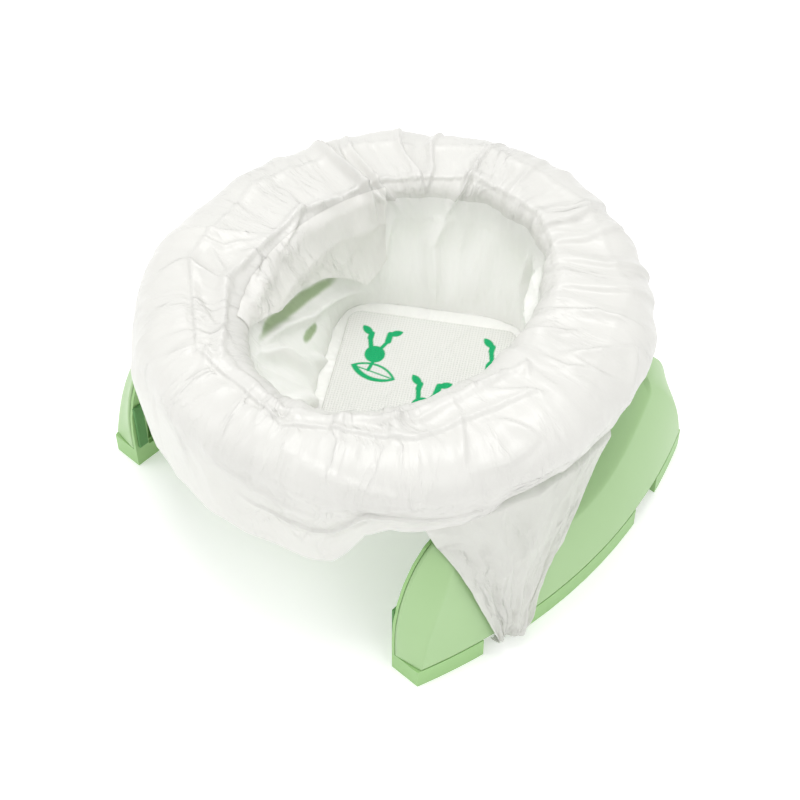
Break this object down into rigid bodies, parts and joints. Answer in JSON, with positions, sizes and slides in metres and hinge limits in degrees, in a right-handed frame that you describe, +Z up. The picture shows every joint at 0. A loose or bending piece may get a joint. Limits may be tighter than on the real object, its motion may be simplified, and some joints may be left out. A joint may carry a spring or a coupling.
{
  "type": "folding travel potty",
  "caption": "Oval potty seat ring on two hinged hollow legs that fold under it or swing out flat, with a film liner bag over the ring and a pad in its bowl.",
  "frame": {"origin": "on the floor below the middle of the seat, the potty standing open", "axes": "+X to the right leg, +Y to the rear along the oval seat, +Z up"},
  "size_m": [0.291, 0.2854, 0.1387],
  "materials": {
    "shell_green": "moulded polypropylene, satin",
    "frame_green": "moulded polypropylene, fine texture",
    "film": "thin white polyethylene film",
    "fleece": "embossed white non-woven",
    "steel": "zinc plated",
    "rubber": "moulded rubber"
  },
  "bodies": {
    "seat": {"seat_ring": "shell_green", "seat_base": "frame_green", "seat_screw_1": "steel", "seat_screw_2": "steel", "seat_screw_3": "steel", "seat_screw_4": "steel", "seat_screw_5": "steel", "seat_screw_6": "steel", "right_front_hinge_pin": "steel", "right_rear_hinge_pin": "steel", "left_front_hinge_pin": "steel", "left_rear_hinge_pin": "steel", "liner_cuff": "film", "liner_bowl": "film", "absorbent_pad": "fleece", "right_liner_handle": "film", "left_liner_handle": "film"},
    "right_leg": {"right_leg_cover": "shell_green", "right_leg_frame": "frame_green", "right_front_leg_screw": "steel", "right_rear_leg_screw": "steel", "right_front_grip_pad": "rubber", "right_rear_grip_pad": "rubber", "right_latch_spring": "steel"},
    "right_latch": {"right_latch_button": "shell_green"},
    "left_leg": {"left_leg_cover": "shell_green", "left_leg_frame": "frame_green", "left_front_leg_screw": "steel", "left_rear_leg_screw": "steel", "left_front_grip_pad": "rubber", "left_rear_grip_pad": "rubber", "left_latch_spring": "steel"},
    "left_latch": {"left_latch_button": "shell_green"}
  },
  "joints": [
    {"name": "right_leg_fold", "type": "hinge", "parent": "seat", "child": "right_leg", "pos_m": [0.105, 0, 0.104], "axis": [0, -1, 0], "range_deg": [-90, 90], "deforming": ["right_liner_handle", "liner_cuff", "liner_bowl", "absorbent_pad"]},
    {"name": "left_leg_fold", "type": "hinge", "parent": "seat", "child": "left_leg", "pos_m": [-0.105, 0, 0.104], "axis": [0, 1, 0], "range_deg": [-90, 90], "deforming": ["left_liner_handle"]},
    {"name": "right_latch_slide", "type": "slide", "parent": "right_leg", "child": "right_latch", "axis": [0, 0, -1], "range_m": [0, 0.004], "stiffness_N_per_m": 300, "springref_m": -0.002, "deforming": ["right_latch_spring"]},
    {"name": "left_latch_slide", "type": "slide", "parent": "left_leg", "child": "left_latch", "axis": [0, 0, -1], "range_m": [0, 0.004], "stiffness_N_per_m": 300, "springref_m": -0.002, "deforming": ["left_latch_spring"]}
  ]
}
